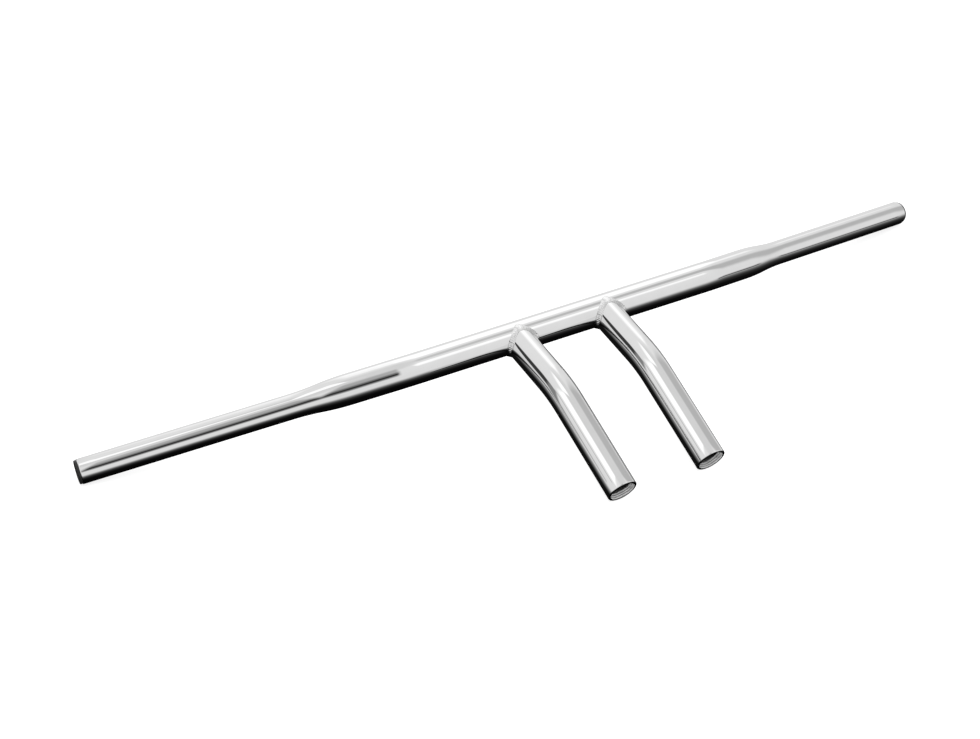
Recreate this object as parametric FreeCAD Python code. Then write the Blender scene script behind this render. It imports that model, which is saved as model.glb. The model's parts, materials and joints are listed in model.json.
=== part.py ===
import FreeCAD, Part
import math
import os

# Motorcycle T-bar: one swaged and swept crossbar tube, carried on two bent riser tubes that are
# welded to its underside. A threaded steel bung is welded into the foot of each riser, and a plug
# closes each end of the crossbar.
#
# Everything is drawn as mounted on the steering head: X to the rider's left, Y back towards the
# rider, Z up along the feet of the risers, origin midway between the two feet. The finished bar is
# then laid on the surface that it rests on when it is off the motorcycle.

# Driving dimensions, in millimetres and degrees
BAR_OD = 31.75            # fat middle of the crossbar, 1-1/4 in tube
GRIP_OD = 25.4            # swaged ends that take 1 in grips and controls
RISER_OD = 31.75          # riser tubes, 1-1/4 in tube
WALL = 2.8                # tube wall, about 12 gauge
SWEEP_FROM_CENTRE = 183.0   # middle of the bar to the corner of each sweep bend
SWEEP_ANGLE = 16.0        # how far each end turns back towards the rider
SWEEP_LIFT = 29.0         # the ends sweep in a plane this far above the horizontal
SWEEP_RADIUS = 80.0       # centre line of the sweep bend
SWAGE_FROM_BEND = 58.0    # corner of the bend to the start of the swaged neck
SWAGE_LENGTH = 61.0       # length over which the tube is swaged down
TIP_FROM_BEND = 335.5     # corner of the bend to the outer face of the end plug
RISER_SPACING = 106.0     # centre to centre
RISER_STRAIGHT = 106.0    # straight foot of each riser
RISER_RADIUS = 150.0      # centre line of the riser bend
RISER_BEND = 15.0         # angle of the riser bend, back towards the rider
RISER_TOP = 65.0          # straight length from the bend up to the crossbar's centre line
TUBE_EDGE = 1.0           # rounding of the outer edge at every cut tube end
WELD_RADIUS = 2.6         # one drop of the fillet weld at the top of a riser
WELD_OFF_RISER = 0.7      # how far the drops' centres stand off the riser tube
WELD_OFF_BAR = 1.4        # and off the crossbar
WELD_DROPS = 48           # drops in the weld round one riser
BUNG_LENGTH = 25.0
BUNG_RECESS = 8.0         # bung face below the riser's foot
THREAD_DRILL = 10.7       # tapping drill of a 1/2 in coarse thread
THREAD_CHAMFER = 1.2
BUNG_WELD_LEG = 1.6       # fillet weld between bung and riser
PLUG_FLANGE = 2.5         # thickness of the plug's flange
PLUG_FLANGE_OD = 24.0
PLUG_EDGE = 0.8           # rounding of the flange's outer edge
PLUG_LENGTH = 22.0        # part of the plug that sits inside the tube
PLUG_CORE_OD = 17.0
PLUG_RIBS = 4
PLUG_RIB_WIDTH = 2.0

SIDES = {"left": 1, "right": -1}

Vector = FreeCAD.Vector
riser_bend = math.radians(RISER_BEND)
bend_end = RISER_STRAIGHT + RISER_RADIUS * riser_bend
riser_length = bend_end + RISER_TOP


def riser_point(x, along, outwards=0.0, round_angle=0.0):
    """Point near a riser, at a distance along its centre line from the foot and at a radius from
    that line. round_angle runs round the tube, from X towards the inside of the bend."""
    bent = min(max((along - RISER_STRAIGHT) / RISER_RADIUS, 0.0), riser_bend)
    straight = along - RISER_STRAIGHT - RISER_RADIUS * bent
    from_bend_centre = RISER_RADIUS - outwards * math.sin(round_angle)
    y = RISER_RADIUS - from_bend_centre * math.cos(bent) + straight * math.sin(bent)
    z = RISER_STRAIGHT + from_bend_centre * math.sin(bent) + straight * math.cos(bent)
    return Vector(x + outwards * math.cos(round_angle), y, z)


bar_centre = riser_point(0, riser_length)
sweep = math.radians(SWEEP_ANGLE)
lift = math.radians(SWEEP_LIFT)
sweep_side = Vector(0, math.cos(lift), math.sin(lift))
bend_tangent = SWEEP_RADIUS * math.tan(sweep / 2)


def arm_axis(side):
    """Direction of one swept end of the crossbar, pointing outwards."""
    return Vector(side * math.cos(sweep), 0, 0) + sweep_side * math.sin(sweep)


def arm_point(side, distance):
    """Point on the centre line of one swept end, at a distance from the corner of its bend."""
    corner = bar_centre + Vector(side * SWEEP_FROM_CENTRE, 0, 0)
    return corner + arm_axis(side) * distance


def middle_of_bar(radius):
    """Round bar along the straight middle, both sweep bends and on to the swaged necks."""
    corners = []
    for side in (-1, 1):
        straight_end = bar_centre + Vector(side * (SWEEP_FROM_CENTRE - bend_tangent), 0, 0)
        half = sweep / 2
        inwards = SWEEP_RADIUS * (1 - math.cos(half))
        middle = straight_end + Vector(side * SWEEP_RADIUS * math.sin(half), 0, 0) + sweep_side * inwards
        corners.append((straight_end, middle, arm_point(side, bend_tangent)))
    right, left = corners
    path = Part.Wire([
        Part.LineSegment(arm_point(-1, SWAGE_FROM_BEND), right[2]).toShape(),
        Part.Arc(right[2], right[1], right[0]).toShape(),
        Part.LineSegment(right[0], left[0]).toShape(),
        Part.Arc(left[0], left[1], left[2]).toShape(),
        Part.LineSegment(left[2], arm_point(1, SWAGE_FROM_BEND)).toShape(),
    ])
    start = Part.Circle(arm_point(-1, SWAGE_FROM_BEND), arm_axis(-1), radius).toShape()
    return path.makePipeShell([Part.Wire([start])], True, True)


def turned(side, start, outline):
    """Solid turned about a swept end's centre line. The outline holds (along, radius) points and
    arcs given as (along, radius, along, radius) for their middle and end."""
    edges = []
    last = outline[0]
    for step in outline[1:]:
        here = Vector(last[-2], last[-1], 0)
        end = Vector(step[-2], step[-1], 0)
        if len(step) == 4:
            edges.append(Part.Arc(here, Vector(step[0], step[1], 0), end).toShape())
        else:
            edges.append(Part.LineSegment(here, end).toShape())
        last = step
    edges.append(Part.LineSegment(Vector(last[-2], last[-1], 0), Vector(*outline[0], 0)).toShape())
    solid = Part.Face(Part.Wire(edges)).revolve(Vector(0, 0, 0), Vector(1, 0, 0), 360)
    turn = FreeCAD.Rotation(Vector(1, 0, 0), arm_axis(side))
    solid.Placement = FreeCAD.Placement(arm_point(side, start), turn)
    return solid


def rounded_corner(along, radius, rounding):
    """Arc that turns an outline from its outer surface down an end face."""
    corner = rounding * (1 - math.sqrt(0.5))
    return (along - corner, radius - corner, along, radius - rounding)


def swaged_end(side, thinner):
    """Neck and grip length of one end; thinner is taken off every radius for the tube's bore."""
    fat = BAR_OD / 2 - thinner
    thin = GRIP_OD / 2 - thinner
    half_way = (SWAGE_LENGTH / 2, (fat + thin) / 2)
    drop = (fat - thin) / 2
    curve = (half_way[0] ** 2 + drop ** 2) / (2 * drop)
    quarter = half_way[0] / 2
    sag = curve - math.sqrt(curve ** 2 - quarter ** 2)
    length = TIP_FROM_BEND - PLUG_FLANGE - SWAGE_FROM_BEND
    edge = 0 if thinner else TUBE_EDGE
    outline = [
        (0, 0),
        (0, fat),
        (quarter, fat - sag) + half_way,
        (SWAGE_LENGTH - quarter, thin + sag, SWAGE_LENGTH, thin),
        (length - edge, thin),
    ]
    if edge:
        outline.append(rounded_corner(length, thin, edge))
    outline.append((length, 0))
    return turned(side, SWAGE_FROM_BEND, outline)


def whole_bar(thinner):
    """Outer form of the crossbar, or its bore when something is taken off the radius."""
    middle = middle_of_bar(BAR_OD / 2 - thinner)
    return middle.fuse([swaged_end(side, thinner) for side in SIDES.values()]).removeSplitter()


def riser_form(x, radius):
    """Round bar along one riser, from its foot to the centre line of the crossbar."""
    bend_middle = (RISER_STRAIGHT + bend_end) / 2
    bend = [riser_point(x, along) for along in (RISER_STRAIGHT, bend_middle, bend_end)]
    path = Part.Wire([
        Part.LineSegment(riser_point(x, 0), bend[0]).toShape(),
        Part.Arc(*bend).toShape(),
        Part.LineSegment(bend[2], riser_point(x, riser_length)).toShape(),
    ])
    foot = Part.Circle(Vector(x, 0, 0), Vector(0, 0, 1), radius).toShape()
    return path.makePipeShell([Part.Wire([foot])], True, True)


def distance_from_bar(point):
    """Distance of a point from the centre line of the crossbar's straight middle."""
    return math.hypot(point.y - bar_centre.y, point.z - bar_centre.z)


def saddle_point(x, round_angle):
    """Point where the riser's weld runs, found by halving the riser's straight top."""
    out = RISER_OD / 2 + WELD_OFF_RISER
    target = BAR_OD / 2 + WELD_OFF_BAR
    low = bend_end
    high = riser_length
    for _ in range(50):
        middle = (low + high) / 2
        if distance_from_bar(riser_point(x, middle, out, round_angle)) > target:
            low = middle
        else:
            high = middle
    return riser_point(x, low, out, round_angle)


def weld_bead(x):
    """Fillet weld laid drop by drop along the saddle between a riser and the crossbar."""
    turns = [2 * math.pi * n / WELD_DROPS for n in range(WELD_DROPS)]
    drops = [Part.makeSphere(WELD_RADIUS, saddle_point(x, turn)) for turn in turns]
    return drops[0].fuse(drops[1:])


def ring(x, outline):
    """Solid turned about a riser foot's vertical centre line from (radius, height) points."""
    corners = [Vector(x + radius, 0, height) for radius, height in outline]
    face = Part.Face(Part.makePolygon(corners + corners[:1]))
    return face.revolve(Vector(x, 0, 0), Vector(0, 0, 1), 360)


def threaded_bung(x):
    """Steel insert with a tapping hole right through and a lead-in at its mouth."""
    outer = RISER_OD / 2 - WALL
    hole = THREAD_DRILL / 2
    bottom = BUNG_RECESS
    top = BUNG_RECESS + BUNG_LENGTH
    outline = [
        (hole + THREAD_CHAMFER, bottom),
        (outer, bottom),
        (outer, top),
        (hole, top),
        (hole, bottom + THREAD_CHAMFER),
    ]
    return ring(x, outline)


def bung_weld(x):
    """Small fillet weld in the corner between the bung's face and the riser's bore."""
    outer = RISER_OD / 2 - WALL
    outline = [
        (outer - BUNG_WELD_LEG, BUNG_RECESS),
        (outer, BUNG_RECESS),
        (outer, BUNG_RECESS - BUNG_WELD_LEG),
    ]
    return ring(x, outline)


def end_plug(side):
    """Plug with a rounded flange over the tube's end and a ribbed shank that grips its bore."""
    flange = PLUG_FLANGE_OD / 2
    bore = GRIP_OD / 2 - WALL
    core = PLUG_CORE_OD / 2
    outline = [(-PLUG_LENGTH, 0), (-PLUG_LENGTH, core)]
    pitch = PLUG_LENGTH / PLUG_RIBS
    for n in range(PLUG_RIBS):
        start = -PLUG_LENGTH + (n + 0.5) * pitch - PLUG_RIB_WIDTH / 2
        end = start + PLUG_RIB_WIDTH
        outline += [(start, core), (start, bore), (end, bore), (end, core)]
    outline += [
        (0, core),
        (0, flange),
        (PLUG_FLANGE - PLUG_EDGE, flange),
        rounded_corner(PLUG_FLANGE, flange, PLUG_EDGE),
        (PLUG_FLANGE, 0),
    ]
    return turned(side, TIP_FROM_BEND - PLUG_FLANGE, outline)


def rounded_foot(riser):
    """Rounds the outer edge of a riser's foot."""
    edges = [edge for edge in riser.Edges
             if edge.BoundBox.ZMax < 0.01 and edge.BoundBox.XLength > RISER_OD - WALL]
    return riser.makeFillet(TUBE_EDGE, edges)


def resting_turn():
    """Turn about X, in degrees, that lays both tips and both riser heels on one level surface."""
    tip = arm_point(1, TIP_FROM_BEND - PLUG_FLANGE - TUBE_EDGE)
    heel = Vector(0, RISER_OD / 2 - TUBE_EDGE, TUBE_EDGE)
    to_tip = tip - heel
    across = math.hypot(to_tip.y, to_tip.z)
    slope = math.atan2(to_tip.z, to_tip.y)
    lean = slope + math.pi / 2
    for _ in range(10):
        upwards = Vector(0, math.cos(lean), math.sin(lean))
        tip_drop = GRIP_OD / 2 * math.sqrt(1 - arm_axis(1).dot(upwards) ** 2)
        lean = slope + math.acos((tip_drop - TUBE_EDGE) / across)
    return 90 - math.degrees(lean)


def laid_down(pieces):
    """Turns the pieces into the resting pose and centres them over the origin, on Z = 0."""
    turn = FreeCAD.Rotation(Vector(1, 0, 0), resting_turn())
    turned_pieces = {}
    for name, piece in pieces.items():
        turned_pieces[name] = piece.copy()
        turned_pieces[name].Placement = FreeCAD.Placement(Vector(), turn).multiply(piece.Placement)
    box = Part.makeCompound(list(turned_pieces.values())).optimalBoundingBox(False)
    shift = Vector(0, -(box.YMin + box.YMax) / 2, -box.ZMin)
    for piece in turned_pieces.values():
        piece.translate(shift)
    return turned_pieces


def as_mounted():
    """All pieces by node name, drawn as mounted."""
    bar_form = whole_bar(0)
    pieces = {"crossbar_tube": bar_form.cut(whole_bar(WALL))}
    for name, side in SIDES.items():
        x = side * RISER_SPACING / 2
        riser = riser_form(x, RISER_OD / 2)
        bore = riser_form(x, RISER_OD / 2 - WALL)
        pieces[name + "_riser_tube"] = rounded_foot(riser.cut([bar_form, bore]))
        pieces[name + "_riser_weld"] = weld_bead(x).cut(bar_form.fuse(riser))
        pieces[name + "_threaded_bung"] = threaded_bung(x)
        pieces[name + "_bung_weld"] = bung_weld(x)
        pieces[name + "_end_plug"] = end_plug(side)
    return pieces


def main():
    os.makedirs("parts", exist_ok=True)
    for name, piece in laid_down(as_mounted()).items():
        piece.exportStep("parts/" + name + ".step")


main()
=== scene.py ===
import json
import math

import bpy
from mathutils import Matrix, Vector


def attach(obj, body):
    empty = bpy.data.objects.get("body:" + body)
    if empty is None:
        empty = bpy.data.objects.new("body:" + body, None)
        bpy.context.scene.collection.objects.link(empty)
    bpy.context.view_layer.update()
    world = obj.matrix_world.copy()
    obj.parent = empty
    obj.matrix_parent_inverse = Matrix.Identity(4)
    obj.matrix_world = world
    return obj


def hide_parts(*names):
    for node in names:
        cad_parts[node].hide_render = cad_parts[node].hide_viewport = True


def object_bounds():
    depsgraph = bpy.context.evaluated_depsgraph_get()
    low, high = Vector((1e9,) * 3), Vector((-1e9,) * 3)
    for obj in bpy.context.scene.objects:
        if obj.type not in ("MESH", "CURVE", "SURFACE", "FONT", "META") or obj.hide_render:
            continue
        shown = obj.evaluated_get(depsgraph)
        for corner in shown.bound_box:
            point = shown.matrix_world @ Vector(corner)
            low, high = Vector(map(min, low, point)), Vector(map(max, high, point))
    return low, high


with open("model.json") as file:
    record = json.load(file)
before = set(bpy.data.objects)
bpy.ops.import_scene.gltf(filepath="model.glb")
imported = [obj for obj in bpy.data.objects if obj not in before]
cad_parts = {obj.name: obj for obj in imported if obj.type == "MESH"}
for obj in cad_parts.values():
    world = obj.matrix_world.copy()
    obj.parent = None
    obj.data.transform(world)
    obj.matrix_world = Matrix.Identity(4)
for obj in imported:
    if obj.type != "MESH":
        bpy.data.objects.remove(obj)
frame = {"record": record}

# Chromed motorcycle T-bar lying on a pale table: one swaged and swept crossbar, two bent risers
# welded to it, a threaded bung welded into each riser's foot and a black plug in each end.
#
# Each piece is modelled as it stands on the motorcycle, X to the rider's left, Y back towards the
# rider and Z up along the riser feet, and is then laid down where the frame holds it.

# Shape, the same as the solids it covers, angles in radians
MM = 0.001
BAR_RADIUS = 15.875 * MM        # 1-1/4 in tube
GRIP_RADIUS = 12.7 * MM         # swaged ends for 1 in grips
WALL = 2.8 * MM
TUBE_EDGE = 1.0 * MM            # rounding of a cut tube end
SWEEP_FROM_CENTRE = 183.0 * MM  # middle of the bar to the corner of each sweep bend
SWEEP_ANGLE = math.radians(16)
SWEEP_LIFT = math.radians(29)   # the ends sweep in a plane this far above the horizontal
SWEEP_RADIUS = 80.0 * MM
SWAGE_FROM_BEND = 58.0 * MM
SWAGE_LENGTH = 61.0 * MM
TIP_FROM_BEND = 335.5 * MM      # corner of the bend to the outer face of the end plug
RISER_STRAIGHT = 106.0 * MM     # straight foot
RISER_RADIUS = 150.0 * MM
RISER_BEND = math.radians(15)
RISER_TOP = 65.0 * MM           # straight from the bend up to the crossbar's centre line
HEAD_OVERLAP = 0.2 * MM         # how far the riser's saddle bites into the crossbar's skin
BUNG_LENGTH = 25.0 * MM
BUNG_RECESS = 8.0 * MM          # bung face inside the riser's mouth
BUNG_EDGE = 0.4 * MM
BUNG_WELD_LEG = 1.6 * MM
BUNG_WELD_ROOT = 0.3 * MM       # how far the bung's weld runs down between bung and bore
THREAD_RADIUS = 6.35 * MM       # 1/2 in coarse thread, 13 to the inch
THREAD_PITCH = 25.4 / 13 * MM
THREAD_DEPTH = 1.05 * MM
THREAD_CHAMFER = 1.0 * MM
WELD_LEG = 4.0 * MM
WELD_APEX = 4.5 * MM            # extra length of the bead where the riser's head comes to a point
WELD_SKIN = 0.05 * MM           # how far the bead's thin edges lie off the tubes
WELD_DROPS = 56                 # drops of the bead round one riser
WELD_CROWN = 1.4 * MM           # how far the bead stands up where the two tubes run side by side
WELD_DROP_HEIGHT = 0.45 * MM
BUNG_WELD_DROPS = 30
BUNG_WELD_DROP_HEIGHT = 0.3 * MM
PLUG_FLANGE = 2.5 * MM
PLUG_RADIUS = 12.0 * MM
PLUG_EDGE = 0.8 * MM
PLUG_LENGTH = 22.0 * MM
PLUG_CORE = 8.5 * MM
PLUG_RIBS = 4
PLUG_RIB_FLANK = 0.5 * MM
PLUG_RIB_WIDTH = 3.0 * MM
PLUG_DISH = 0.4 * MM            # shallow hollow in the middle of the plug's face
PLUG_DISH_RADIUS = 4.0 * MM
PLUG_PINHOLE = 0.5 * MM         # ring that is capped at each end of the plug
BORING_PITCH = 2.2 * MM         # rings left in the riser's bore

TOUCH = 0.1 * MM                # slack for picking points by their place
SEAT = 0.02 * MM                # overlap that hides the seam between a weld and its tube
TUBE_SIDES = 120
SIDES = {"left": 1, "right": -1}

mounts = {mount["name"]: mount for mount in frame["record"]["mounts"]}
cad_box = [list(corner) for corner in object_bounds()]

sweep_side = Vector((0, math.cos(SWEEP_LIFT), math.sin(SWEEP_LIFT)))
arm_axis = Vector((1, 0, 0)) * math.cos(SWEEP_ANGLE) + sweep_side * math.sin(SWEEP_ANGLE)
bend_tangent = SWEEP_RADIUS * math.tan(SWEEP_ANGLE / 2)
riser_axis = Vector((0, math.sin(RISER_BEND), math.cos(RISER_BEND)))
bend_end = Vector((0, RISER_RADIUS * (1 - math.cos(RISER_BEND)),
                   RISER_STRAIGHT + RISER_RADIUS * math.sin(RISER_BEND)))
bar_centre = bend_end + riser_axis * RISER_TOP
arm_corner = bar_centre + Vector((SWEEP_FROM_CENTRE, 0, 0))
at_joint = Matrix.Translation(bar_centre) @ Matrix.Rotation(-RISER_BEND, 4, "X")


def laid_down():
    """Matrix that lays the mounted bar on the table, from the place and direction of its feet."""
    foot = mounts["left_riser_foot"]
    up = -Vector(foot["axis"])
    back = up.cross(Vector((1, 0, 0)))
    turn = Matrix(((1, 0, 0), back, up)).transposed().to_4x4()
    return Matrix.Translation((0, foot["pos_m"][1], foot["pos_m"][2])) @ turn


LAID = laid_down()
RISER_X = abs(mounts["left_riser_thread"]["pos_m"][0])


# Modelling helpers

def start_ring(name, radius, centre=(0, 0, 0), turn=(0, 0, 0), sides=TUBE_SIDES):
    """Adds a ring of vertices and opens it for editing."""
    bpy.ops.object.select_all(action="DESELECT")
    bpy.ops.mesh.primitive_circle_add(vertices=sides, radius=radius, location=centre, rotation=turn)
    bpy.context.object.name = name
    bpy.context.object.data.name = name
    bpy.ops.object.mode_set(mode="EDIT")
    return bpy.context.object


def push(offset, steps=1):
    """Extrudes what is selected along an offset, in equal steps."""
    for _ in range(steps):
        bpy.ops.mesh.extrude_region_move(TRANSFORM_OT_translate={"value": Vector(offset) / steps})


def swell(factor, centre):
    """Scales what is selected about a point."""
    factors = factor if isinstance(factor, tuple) else (factor, factor, factor)
    bpy.ops.transform.resize(value=factors, center_override=centre)


def close_up():
    """Joins doubled points, turns the faces outwards and leaves edit mode."""
    bpy.ops.mesh.select_all(action="SELECT")
    bpy.ops.mesh.remove_doubles(threshold=0.001 * MM)
    bpy.ops.mesh.normals_make_consistent(inside=False)
    bpy.ops.object.mode_set(mode="OBJECT")


def only(piece):
    """Makes a piece the one that the next operator works on."""
    bpy.ops.object.select_all(action="DESELECT")
    piece.select_set(True)
    bpy.context.view_layer.objects.active = piece


def dress(piece, *materials):
    """Gives a piece its materials; a tube's wall uses the first outside and the second inside."""
    for material in materials:
        piece.data.materials.append(material)


def put(piece, matrix=Matrix.Identity(4)):
    """Moves a piece by a matrix and leaves its place in its mesh."""
    only(piece)
    piece.matrix_world = matrix @ piece.matrix_world
    bpy.ops.object.transform_apply(location=True, rotation=True, scale=True)
    return piece


def finish_with(piece, kind, **settings):
    """Adds a modifier and applies it."""
    only(piece)
    modifier = piece.modifiers.new(kind.title(), kind)
    for key, value in settings.items():
        setattr(modifier, key, value)
    bpy.ops.object.modifier_apply(modifier=modifier.name)
    return piece


def select_indices(piece, indices):
    """Selects vertices by their numbers, and opens the piece for editing."""
    only(piece)
    bpy.ops.object.mode_set(mode="EDIT")
    bpy.ops.mesh.select_mode(type="VERT")
    bpy.ops.mesh.select_all(action="DESELECT")
    bpy.ops.object.mode_set(mode="OBJECT")
    for index in indices:
        piece.data.vertices[index].select = True
    bpy.ops.object.mode_set(mode="EDIT")


def select_points(piece, test):
    """Selects the vertices whose place passes a test, and opens the piece for editing."""
    select_indices(piece, [point.index for point in piece.data.vertices if test(point.co)])


def smooth(piece, degrees=35):
    only(piece)
    bpy.ops.object.shade_smooth_by_angle(angle=math.radians(degrees))
    return piece


def copy_of(piece, name, matrix):
    """Separate copy of a piece, with its own mesh, moved by a matrix."""
    twin = piece.copy()
    twin.data = piece.data.copy()
    twin.name = name
    twin.data.name = name
    bpy.context.scene.collection.objects.link(twin)
    return put(twin, matrix)


def remove(piece):
    bpy.data.objects.remove(piece)


def walk_ring(name, outline, sides=TUBE_SIDES):
    """Turned form about Z: one ring is extruded and scaled through (radius, height) points."""
    radius, height = outline[0]
    piece = start_ring(name, radius, (0, 0, height), sides=sides)
    for next_radius, next_height in outline[1:]:
        push((0, 0, next_height - height))
        swell((next_radius / radius, next_radius / radius, 1), (0, 0, next_height))
        radius, height = next_radius, next_height
    return piece


# Pieces

def crossbar_tube():
    """Outer skin of one half pushed out from the centre, mirrored and given its wall."""
    half = start_ring("crossbar_tube_shell", BAR_RADIUS, bar_centre, (0, math.radians(90), 0))
    straight = SWEEP_FROM_CENTRE - bend_tangent
    push((straight, 0, 0), 12)
    bend_start = bar_centre + Vector((straight, 0, 0))
    bpy.ops.mesh.spin(steps=20, dupli=False, angle=SWEEP_ANGLE,
                      center=bend_start + sweep_side * SWEEP_RADIUS,
                      axis=sweep_side.cross(Vector((1, 0, 0))))
    push(arm_axis * (SWAGE_FROM_BEND - bend_tangent), 3)
    radius = BAR_RADIUS
    steps = 24
    for n in range(steps):
        share = (n + 1) / steps
        eased = 2 * share ** 2 if share < 0.5 else 1 - 2 * (1 - share) ** 2
        target = BAR_RADIUS + (GRIP_RADIUS - BAR_RADIUS) * eased
        push(arm_axis * (SWAGE_LENGTH / steps))
        swell(target / radius, arm_corner + arm_axis * (SWAGE_FROM_BEND + SWAGE_LENGTH * share))
        radius = target
    end = TIP_FROM_BEND - PLUG_FLANGE
    push(arm_axis * (end - SWAGE_FROM_BEND - SWAGE_LENGTH), 12)
    close_up()
    put(half)
    finish_with(half, "MIRROR", use_axis=(True, False, False), merge_threshold=0.01 * MM)
    dress(half, chrome, bore)
    finish_with(half, "SOLIDIFY", thickness=WALL, offset=-1, use_even_offset=True,
                material_offset=1)

    def on_outer_edge(point):
        spot = Vector((abs(point.x), point.y, point.z)) - arm_corner
        along = spot.dot(arm_axis)
        return along > end - TOUCH and (spot - arm_axis * along).length > GRIP_RADIUS - TOUCH

    select_points(half, on_outer_edge)
    bpy.ops.mesh.bevel(offset=TUBE_EDGE, segments=5, affect="EDGES")
    bpy.ops.object.mode_set(mode="OBJECT")
    return half


def riser_skin():
    """Outer skin of a riser, from its foot at the origin up to the crossbar's centre line."""
    skin = start_ring("riser_skin", BAR_RADIUS)
    push((0, 0, RISER_STRAIGHT), 8)
    bpy.ops.mesh.spin(steps=24, dupli=False, angle=RISER_BEND,
                      center=(0, RISER_RADIUS, RISER_STRAIGHT), axis=(1, 0, 0))
    push(riser_axis * RISER_TOP, 6)
    close_up()
    return skin


def riser_tube(skin):
    """Riser with its wall, its rounded foot and its head cut to fit round the crossbar."""
    tube = copy_of(skin, "riser_tube", Matrix.Identity(4))
    dress(tube, chrome, bore)
    finish_with(tube, "SOLIDIFY", thickness=WALL, offset=-1, use_even_offset=True,
                material_offset=1)
    select_points(tube, lambda p: p.z < TOUCH and math.hypot(p.x, p.y) > BAR_RADIUS - TOUCH)
    bpy.ops.mesh.bevel(offset=TUBE_EDGE, segments=5, affect="EDGES")
    bpy.ops.object.mode_set(mode="OBJECT")
    bpy.ops.mesh.primitive_cylinder_add(vertices=TUBE_SIDES, radius=BAR_RADIUS - HEAD_OVERLAP,
                                        depth=4 * BAR_RADIUS, location=bar_centre,
                                        rotation=(0, math.radians(90), 0))
    cutter = bpy.context.object
    finish_with(tube, "BOOLEAN", operation="DIFFERENCE", object=cutter, solver="EXACT")
    remove(cutter)
    return tube


def raise_points(bead, test, height):
    """Pushes the points of a bead that pass a test straight out of its surface."""
    select_points(bead, test)
    bpy.ops.transform.shrink_fatten(value=height)
    bpy.ops.object.mode_set(mode="OBJECT")


def raise_drops(bead, count, height, on_face):
    """Raises the drops of a bead, evenly round the Z axis, each with a crest and two flanks."""
    def drop(point):
        return math.cos(count * math.atan2(point.y, point.x))

    raise_points(bead, lambda p: on_face(p) and drop(p) > 0.8, 0.6 * height)
    raise_points(bead, lambda p: on_face(p) and drop(p) > -0.5, 0.4 * height)


def round_off_apex(weld, points):
    """Carries a bead's lower edge further down, most of all at the riser's pointed head."""
    step = 0.5 * MM
    for n in range(30):
        near = [index for index in points if abs(weld.data.vertices[index].co.x) < (n + 1) * step]
        drop = math.hypot(n * step, WELD_APEX) - math.hypot((n + 1) * step, WELD_APEX) + step
        select_indices(weld, near)
        bpy.ops.transform.translate(value=(0, 0, -drop))
        bpy.ops.object.mode_set(mode="OBJECT")


def riser_weld(skin):
    """Fillet in the corner between riser and crossbar, modelled about the joint: a ring is dropped
    on the bar, led out along both tubes, hollowed by a bevel, crowned where the tubes run side by
    side, and raised drop by drop like a laid bead along the riser's flanks."""
    sides = 4 * WELD_DROPS
    form_radius = 1.003 * BAR_RADIUS    # its flat sides clear the round tube
    bpy.ops.mesh.primitive_cylinder_add(vertices=sides, radius=form_radius,
                                        depth=6 * BAR_RADIUS, rotation=(0, math.radians(90), 0))
    bar_form = bpy.context.object
    riser_form = copy_of(skin, "riser_form", at_joint.inverted())
    weld = start_ring("riser_weld", BAR_RADIUS, (0, 0, -2 * BAR_RADIUS), sides=sides)
    bpy.ops.object.mode_set(mode="OBJECT")
    put(weld)
    finish_with(weld, "SHRINKWRAP", wrap_method="PROJECT", use_project_z=True, target=bar_form)
    corner = set(range(sides))
    select_indices(weld, corner)
    push((0, 0, -WELD_LEG))
    bpy.ops.object.mode_set(mode="OBJECT")
    below = set(range(len(weld.data.vertices))) - corner
    round_off_apex(weld, below)
    select_indices(weld, corner)
    push((0, 0, 0.55 * WELD_LEG))
    swell((1 + WELD_LEG / BAR_RADIUS, 0.995, 1), (0, 0, 0))
    bpy.ops.object.mode_set(mode="OBJECT")
    above = set(range(len(weld.data.vertices))) - corner - below
    for name, points, form in (("above", above, bar_form), ("below", below, riser_form)):
        weld.vertex_groups.new(name=name).add(list(points), 1, "REPLACE")
        finish_with(weld, "SHRINKWRAP", wrap_method="NEAREST_SURFACEPOINT",
                    wrap_mode="OUTSIDE_SURFACE", offset=WELD_SKIN, vertex_group=name, target=form)
    root = copy_of(weld, "weld_root", Matrix.Identity(4))
    select_indices(weld, corner)
    bpy.ops.mesh.bevel(offset_type="PERCENT", offset_pct=80, segments=8, profile=0.5,
                       affect="EDGES", clamp_overlap=False)
    bpy.ops.object.mode_set(mode="OBJECT")
    only(weld)
    root.select_set(True)
    bpy.ops.object.join()
    bpy.ops.object.mode_set(mode="EDIT")
    close_up()
    for helper in (bar_form, riser_form):
        remove(helper)

    def proud(point):
        off_bar = math.hypot(point.y, point.z) - BAR_RADIUS
        off_riser = math.hypot(point.x, point.y) - BAR_RADIUS
        return min(off_bar, off_riser)

    crown_starts = 0.55 * BAR_RADIUS
    drops_start = 0.3 * BAR_RADIUS
    for reach in (0.95, 0.75, 0.5, 0.25):
        raise_points(weld, lambda p: abs(p.y) > crown_starts and proud(p) > -SEAT
                     and abs(p.z + abs(p.x)) < reach * WELD_LEG, WELD_CROWN / 4)
    raise_drops(weld, WELD_DROPS, WELD_DROP_HEIGHT,
                lambda p: proud(p) > 2 * TOUCH and abs(p.x) > drops_start)
    dress(weld, weld_chrome)
    return weld


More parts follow.
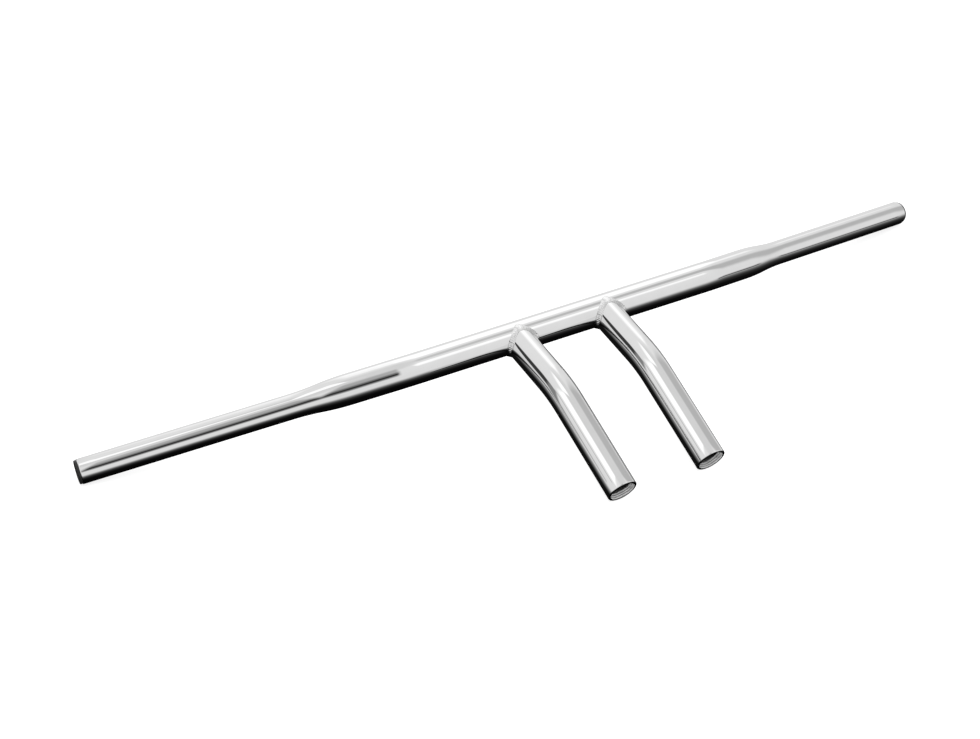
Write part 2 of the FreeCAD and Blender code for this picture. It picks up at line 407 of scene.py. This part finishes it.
def threaded_bung():
    """Turned steel insert with a lead-in at its mouth and a helical thread down its hole."""
    outer = BAR_RADIUS - WALL
    face = BUNG_RECESS
    back = face + BUNG_LENGTH
    body = walk_ring("threaded_bung", [
        (THREAD_RADIUS + THREAD_CHAMFER, face),
        (outer - BUNG_EDGE, face),
        (outer, face + BUNG_EDGE),
        (outer, back),
        (THREAD_RADIUS, back),
        (THREAD_RADIUS, face + THREAD_CHAMFER),
        (THREAD_RADIUS + THREAD_CHAMFER, face),
    ])
    close_up()
    put(body)
    turns = int((BUNG_LENGTH - 2 * THREAD_CHAMFER) / THREAD_PITCH) - 1
    ridge_width = 0.96              # of the pitch, so that neighbouring turns stay apart
    ridge = start_ring("thread_ridge", THREAD_PITCH / math.sqrt(3),
                       (THREAD_RADIUS - THREAD_DEPTH / 2, 0, face + THREAD_CHAMFER + THREAD_PITCH),
                       (math.radians(90), math.radians(-90), 0), sides=3)
    swell((THREAD_DEPTH * 2 / (THREAD_PITCH * math.sqrt(3)), 1, ridge_width), ridge.location)
    bpy.ops.object.mode_set(mode="OBJECT")
    put(ridge)
    finish_with(ridge, "SCREW", axis="Z", steps=48, render_steps=48, screw_offset=THREAD_PITCH,
                iterations=turns)
    bpy.ops.object.mode_set(mode="EDIT")
    bpy.ops.mesh.select_all(action="SELECT")
    bpy.ops.mesh.fill_holes(sides=3)
    close_up()
    only(body)
    ridge.select_set(True)
    bpy.context.view_layer.objects.active = body
    bpy.ops.object.join()
    dress(body, bung_steel_painted_shade)
    return body


def bung_weld():
    """Hollow fillet between the bung's face and the riser's bore."""
    outer = BAR_RADIUS - WALL + SEAT
    steps = 8
    outline = [(outer, BUNG_RECESS + BUNG_WELD_ROOT)]
    for n in range(steps + 1):
        angle = math.radians(90) * n / steps
        outline.append((outer - BUNG_WELD_LEG * (1 - math.sin(angle)),
                        BUNG_RECESS - BUNG_WELD_LEG * (1 - math.cos(angle))))
    outline.append(outline[0])
    weld = walk_ring("bung_weld", outline)
    close_up()
    put(weld)
    raise_drops(weld, BUNG_WELD_DROPS, BUNG_WELD_DROP_HEIGHT,
                lambda p: (math.hypot(p.x, p.y) < outer - 2 * TOUCH
                           and p.z < BUNG_RECESS - 2 * TOUCH))
    # The bung's weld takes the same nearly black painted shade
    dress(weld, bung_steel_painted_shade)
    return weld


def end_plug():
    """Moulded plug, drawn along Z with its flange against the tube's end at the origin."""
    edge = [(PLUG_RADIUS - PLUG_EDGE * (1 - math.cos(math.radians(a))),
             PLUG_FLANGE - PLUG_EDGE * (1 - math.sin(math.radians(a)))) for a in range(0, 91, 15)]
    tube_bore = GRIP_RADIUS - WALL
    outline = [(PLUG_PINHOLE, -PLUG_LENGTH), (PLUG_CORE, -PLUG_LENGTH)]
    for n in range(PLUG_RIBS):
        low = -PLUG_LENGTH + (n + 0.3) * PLUG_LENGTH / PLUG_RIBS
        high = low + PLUG_RIB_WIDTH
        outline += [(PLUG_CORE, low), (tube_bore, low + PLUG_RIB_FLANK),
                    (tube_bore, high - PLUG_RIB_FLANK), (PLUG_CORE, high)]
    dish = PLUG_FLANGE - PLUG_DISH
    outline += [(PLUG_CORE, 0), (PLUG_RADIUS, 0)] + edge
    outline += [(PLUG_DISH_RADIUS, PLUG_FLANGE), (0.75 * PLUG_DISH_RADIUS, dish),
                (PLUG_PINHOLE, dish)]
    plug = walk_ring("end_plug", outline, sides=96)
    bpy.ops.mesh.select_all(action="SELECT")
    bpy.ops.mesh.region_to_loop()
    bpy.ops.mesh.edge_face_add()
    close_up()
    dress(plug, plastic)
    return put(plug)


def arm_end(side):
    """Matrix of the frame at the outer end of one arm's tube, Z outwards."""
    spot = arm_corner + arm_axis * (TIP_FROM_BEND - PLUG_FLANGE)
    place = Vector((side * spot.x, spot.y, spot.z))
    outwards = Vector((side * arm_axis.x, arm_axis.y, arm_axis.z))
    return Matrix.Translation(place) @ outwards.to_track_quat("Z", "Y").to_matrix().to_4x4()


# Materials

def linear(code):
    """Linear colour from an sRGB hex value."""
    shares = [int(code[n:n + 2], 16) / 255 for n in (1, 3, 5)]
    return [s / 12.92 if s <= 0.04045 else ((s + 0.055) / 1.055) ** 2.4 for s in shares] + [1.0]


def add(tree, kind, inputs=(), **settings):
    """Adds a node with its settings; an input is given a number, a colour or an output to link."""
    made = tree.nodes.new("ShaderNode" + kind)
    for key, value in settings.items():
        setattr(made, key, value)
    for key, value in dict(inputs).items():
        if isinstance(value, bpy.types.NodeSocket):
            tree.links.new(value, made.inputs[key])
        else:
            made.inputs[key].default_value = value
    return made


def per_metre(size):
    """Pattern scale that repeats once in a real size."""
    return 1 / size


def surface(name, **inputs):
    """New material with a Principled shader; returns the material, its tree and the shader."""
    material = bpy.data.materials.new(name)
    material.use_nodes = True
    tree = material.node_tree
    shader = tree.nodes["Principled BSDF"]
    for key, value in inputs.items():
        shader.inputs[key.replace("_", " ")].default_value = value
    return material, tree, shader


def math_node(tree, operation, *values):
    """Math node on up to three values; each is a number or an output to link."""
    return add(tree, "Math", dict(enumerate(values)), operation=operation).outputs[0]


def noise(tree, place, size, detail=3.0):
    """Noise whose features have a real size."""
    return add(tree, "TexNoise", {"Vector": place, "Scale": per_metre(size),
                                  "Detail": detail}).outputs["Fac"]


def spread(tree, value, low, high, start=0.3, end=0.7):
    """Value from start to end turned into a number from low to high."""
    return add(tree, "MapRange", {"Value": value, "From Min": start, "From Max": end,
                                  "To Min": low, "To Max": high}).outputs["Result"]


def blend(tree, share, first, second):
    """Mix of two colours."""
    return add(tree, "Mix", {"Factor": share, "A": linear(first), "B": linear(second)},
               data_type="RGBA").outputs["Result"]


def relief(tree, shader, height, depth, strength=1.0):
    """Bump of a real depth on the shader's normal."""
    bump = add(tree, "Bump", {"Height": height, "Strength": strength, "Distance": depth})
    tree.links.new(bump.outputs["Normal"], shader.inputs["Normal"])


def polished_chrome():
    """Bright nickel-chrome plate over buffed steel tube: a neutral mirror with the faint waviness
    that the buffing wheel leaves, and a haze of the finest polishing lines."""
    material, tree, shader = surface("polished_chrome_plate", Metallic=1.0)
    place = add(tree, "TexCoord").outputs["Object"]
    haze = noise(tree, place, 14 * MM, 4.0)
    tree.links.new(blend(tree, haze, "#EEEEEE", "#F6F6F6"), shader.inputs["Base Color"])
    tree.links.new(spread(tree, haze, 0.008, 0.022), shader.inputs["Roughness"])
    relief(tree, shader, noise(tree, place, 11 * MM, 2.0), 0.1 * MM, 0.05)
    return material


def chromed_weld():
    """Chrome plate over a weld bead that was only brushed: brighter in patches and softer than the
    tubes, with pits and spatter too small to model."""
    material, tree, shader = surface("chrome_plated_weld", Metallic=1.0)
    place = add(tree, "TexCoord").outputs["Object"]
    patches = noise(tree, place, 3 * MM, 4.0)
    tree.links.new(blend(tree, patches, "#DCDCDC", "#FCFCFC"), shader.inputs["Base Color"])
    tree.links.new(spread(tree, patches, 0.05, 0.16), shader.inputs["Roughness"])
    relief(tree, shader, noise(tree, place, 1.8 * MM, 2.0), 0.3 * MM, 0.8)
    return material


def bored_plate():
    """Thin dull plating over a rough-bored tube: pale satin grey with the rings of the boring tool,
    which catch the light as fine arcs."""
    material, tree, shader = surface("plated_rough_bore", Metallic=0.35)
    place = add(tree, "TexCoord").outputs["Object"]
    foot_axis = tuple(mounts["left_riser_thread"]["axis"])
    along = add(tree, "VectorMath", {0: place, 1: foot_axis}, operation="DOT_PRODUCT")
    wander = math_node(tree, "MULTIPLY", noise(tree, place, 9 * MM), BORING_PITCH)
    turned = math_node(tree, "ADD", along.outputs["Value"], wander)
    rings = math_node(tree, "SINE", math_node(tree, "MULTIPLY", turned, math.tau / BORING_PITCH))
    patches = noise(tree, place, 2.5 * MM, 4.0)
    tree.links.new(blend(tree, patches, "#CFCFCF", "#FAFAFA"), shader.inputs["Base Color"])
    tree.links.new(spread(tree, patches, 0.25, 0.4), shader.inputs["Roughness"])
    relief(tree, shader, rings, 0.22 * MM)
    return material


def steel_with_painted_shade():
    """Steel turned on a lathe and left unplated; its nearly black colour is painted shade of the
    deep riser mouth it sits in, with fine stains as well.
    """
    material, tree, shader = surface("steel_painted_dark_as_shade", Metallic=1.0)
    place = add(tree, "TexCoord").outputs["Object"]
    stains = noise(tree, place, 4 * MM, 4.0)
    # Nearly black base colour: painted shade of the recess, varied by the stain noise
    tree.links.new(blend(tree, stains, "#262626", "#4A4A49"), shader.inputs["Base Color"])
    tree.links.new(spread(tree, stains, 0.18, 0.35), shader.inputs["Roughness"])
    relief(tree, shader, noise(tree, place, 0.6 * MM), 0.02 * MM, 0.5)
    return material


def moulded_plastic():
    """Injection-moulded black plastic: fine-grained, slightly glossy, greyer where handled."""
    material, tree, shader = surface("moulded_black_plastic")
    place = add(tree, "TexCoord").outputs["Object"]
    wear = noise(tree, place, 6 * MM, 4.0)
    tree.links.new(blend(tree, wear, "#0C0C0C", "#1E1E1E"), shader.inputs["Base Color"])
    tree.links.new(spread(tree, wear, 0.28, 0.45), shader.inputs["Roughness"])
    relief(tree, shader, noise(tree, place, 0.5 * MM), 0.05 * MM, 0.4)
    return material


# Light that the chrome sees, by compass direction and height in degrees: the middle and half
# width of each patch, its lowest and highest edge, how softly it fades, and its brightness.
HORIZON_RAMP = (
    (-60, 0.002), (-44, 0.004), (-36, 0.014), (-28, 0.03), (-22, 0.09), (-16, 0.19), (-11, 0.42),
    (-6, 0.66), (0, 0.78), (60, 0.82), (75, 0.71), (90, 0.71),
)
LIGHT_PATCHES = {
    "left_dark_ground": (128, 28, -90, -29, 4, 0.006),
    "low_white_wall": (60, 14, -40, 12, 8, 0.80),
    "low_right_shade": (30, 8, -30, -9, 5, 0.28),
    "white_wall": (57, 18, 17, 55, 6, 1.16),
    "grey_side_wall": (6, 15, 8, 65, 8, 0.50),
    "front_softbox": (318, 12, 47, 60, 5, 1.14),
    "left_softbox": (171, 12, 41, 70, 5, 1.18),
    "left_softbox_edge": (165, 8, 29, 32, 2, 0.42),
    "zenith_softbox": (125, 32, 66, 86, 4, 1.12),
    "left_stand": (146, 9, 8, 28, 2, 0.04),
    "left_stand_side": (155, 4, 0, 29, 2, 0.24),
    "camera_shade_top": (254, 12, 52, 76, 8, 0.42),
    "camera_shade": (255, 12, 26, 55, 6, 0.17),
    "camera_body": (256, 10, 34, 45, 3, 0.03),
    "far_right_line": (328, 8, -11, -6, 2, 0.08),
}


def fade(tree, value, start, end):
    """Smooth step of a value from 0 at one bound to 1 at the other."""
    made = add(tree, "MapRange", {"Value": value, "From Min": start, "From Max": end},
               interpolation_type="SMOOTHSTEP")
    return made.outputs["Result"]


def make_world():
    """Studio round the table: a dark ground, a horizon that lightens upwards, and the patches."""
    world = bpy.data.worlds.new("studio")
    bpy.context.scene.world = world
    world.use_nodes = True
    tree = world.node_tree
    direction = add(tree, "TexCoord").outputs["Generated"]
    part = add(tree, "SeparateXYZ", {"Vector": direction}).outputs
    height = math_node(tree, "DEGREES", math_node(tree, "ARCSINE", part["Z"]))
    compass = math_node(tree, "DEGREES", math_node(tree, "ARCTAN2", part["Y"], part["X"]))
    brightness = HORIZON_RAMP[0][1]
    for (low, _), (high, level) in zip(HORIZON_RAMP, HORIZON_RAMP[1:]):
        share = fade(tree, height, low, high)
        brightness = add(tree, "Mix", {"Factor": share, "A": brightness, "B": level}).outputs[0]
    for middle, half, bottom, top, soft, level in LIGHT_PATCHES.values():
        turned = math_node(tree, "SUBTRACT", compass, middle)
        off = math_node(tree, "ABSOLUTE", math_node(tree, "WRAP", turned, 180.0, -180.0))
        sides = fade(tree, off, half + soft, half - soft)
        over = fade(tree, height, bottom - soft, bottom + soft)
        under = fade(tree, height, top + soft, top - soft)
        share = math_node(tree, "MULTIPLY", sides, math_node(tree, "MULTIPLY", over, under))
        brightness = add(tree, "Mix", {"Factor": share, "A": brightness, "B": level}).outputs[0]
    tree.links.new(brightness, tree.nodes["Background"].inputs["Color"])


# Table, light and camera, in metres
FLOOR_SIZE = 14.0
FLOOR_GAP = 0.05 * MM
SOFTBOX_SIZE = 3.0
SOFTBOX_POWER = 60
SOFTBOX_PLACE = (-0.3, -0.4, 2.5)
SENSOR_WIDTH = 36               # millimetres, as is the lens
LENS = 114.84
VIEW_AZIMUTH = math.radians(-35.208)
VIEW_ELEVATION = math.radians(36.129)
VIEW_ROLL = math.radians(4.766)
VIEW_DISTANCE = 3.1403
VIEW_AIM = Vector((-0.08265, 0.05876, 0.04175))


def make_floor():
    """Pale table just under the lowest point; the chrome sees the studio's dark ground instead."""
    bpy.ops.object.select_all(action="DESELECT")
    bpy.ops.mesh.primitive_plane_add(size=FLOOR_SIZE,
                                     location=(0, 0, cad_box[0][2] - FLOOR_GAP))
    floor = bpy.context.object
    floor.name = "pale_table"
    floor.visible_glossy = False
    material, tree, shader = surface("matt_white_table", Roughness=0.9)
    shader.inputs["Base Color"].default_value = linear("#A6A6A6")
    shader.inputs["Emission Color"].default_value = linear("#FFFFFF")
    shader.inputs["Emission Strength"].default_value = 0.8
    floor.data.materials.append(material)


def make_light():
    """Soft light from above for the table, the welds and the plugs."""
    data = bpy.data.lights.new("overhead_softbox", "AREA")
    data.size = SOFTBOX_SIZE
    data.energy = SOFTBOX_POWER
    lamp = bpy.data.objects.new("overhead_softbox", data)
    lamp.location = SOFTBOX_PLACE
    lamp.visible_glossy = False
    bpy.context.scene.collection.objects.link(lamp)


def make_camera():
    """Camera on the side of the riser feet, above and to the rider's right, a little rolled."""
    data = bpy.data.cameras.new("camera")
    data.sensor_width = SENSOR_WIDTH
    data.lens = LENS
    camera = bpy.data.objects.new("camera", data)
    back = Vector((math.sin(VIEW_AZIMUTH) * math.cos(VIEW_ELEVATION),
                   -math.cos(VIEW_AZIMUTH) * math.cos(VIEW_ELEVATION), math.sin(VIEW_ELEVATION)))
    level = (-back).to_track_quat("-Z", "Y").to_matrix().to_4x4()
    camera.matrix_world = (Matrix.Translation(VIEW_AIM + back * VIEW_DISTANCE) @ level
                           @ Matrix.Rotation(VIEW_ROLL, 4, "Z"))
    bpy.context.scene.collection.objects.link(camera)
    bpy.context.scene.camera = camera


def show(piece, name, matrix, degrees=35):
    """Lays a finished piece in its place for one CAD node."""
    placed = copy_of(piece, name + "_visual", LAID @ matrix)
    smooth(placed, degrees)
    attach(placed, "root")
    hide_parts(name)


chrome = polished_chrome()
weld_chrome = chromed_weld()
bore = bored_plate()
# The bung and its weld are coloured nearly black as painted shade of the riser's mouth
bung_steel_painted_shade = steel_with_painted_shade()
plastic = moulded_plastic()

bar = crossbar_tube()
skin = riser_skin()
riser = riser_tube(skin)
weld = riser_weld(skin)
bung = threaded_bung()
bung_bead = bung_weld()
plug = end_plug()

show(bar, "crossbar_tube", Matrix.Identity(4))
for side_name, side in SIDES.items():
    across = Matrix.Translation((side * RISER_X, 0, 0))
    show(riser, side_name + "_riser_tube", across)
    show(weld, side_name + "_riser_weld", across @ at_joint, 60)
    show(bung, side_name + "_threaded_bung", across)
    show(bung_bead, side_name + "_bung_weld", across, 60)
    show(plug, side_name + "_end_plug", arm_end(side))
for master in (bar, skin, riser, weld, bung, bung_bead, plug):
    remove(master)

make_world()
make_floor()
make_light()
make_camera()
bpy.context.scene.view_settings.view_transform = "Standard"

bpy.context.view_layer.update()
